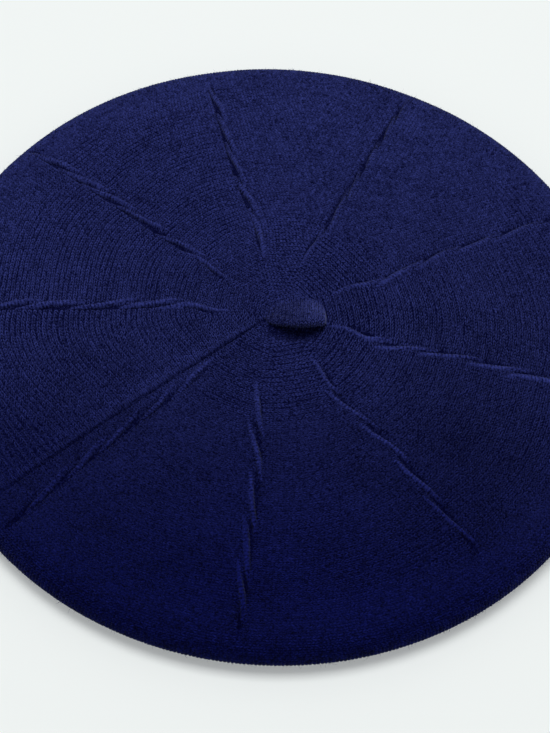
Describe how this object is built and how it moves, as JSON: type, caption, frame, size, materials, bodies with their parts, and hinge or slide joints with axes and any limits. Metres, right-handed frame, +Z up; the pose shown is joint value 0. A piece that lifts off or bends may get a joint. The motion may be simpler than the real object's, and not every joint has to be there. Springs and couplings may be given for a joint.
{
  "type": "knitted beret",
  "caption": "Flat round knitted beret with a gently domed top, twisted radial ridges, one linked seam, a soft stem at the hub, a rounded rim fold and an open hemmed head hole.",
  "frame": {"origin": "middle of the rim circle, on the surface that the beret rests on", "axes": "+Z up through the hub, +Y towards the back of the hat, +X to the right, so that the linked seam runs out between -X and -Y"},
  "size_m": [0.2797, 0.2799, 0.0332],
  "materials": {
    "crown_knit": "fine navy wool knit with a soft fuzz",
    "band_knit": "doubled hem of the same navy knit",
    "stem_knit": "fine navy wool knit with a soft fuzz"
  },
  "bodies": {
    "root": {"crown": "crown_knit", "head_band": "band_knit", "stem": "stem_knit"}
  },
  "joints": []
}
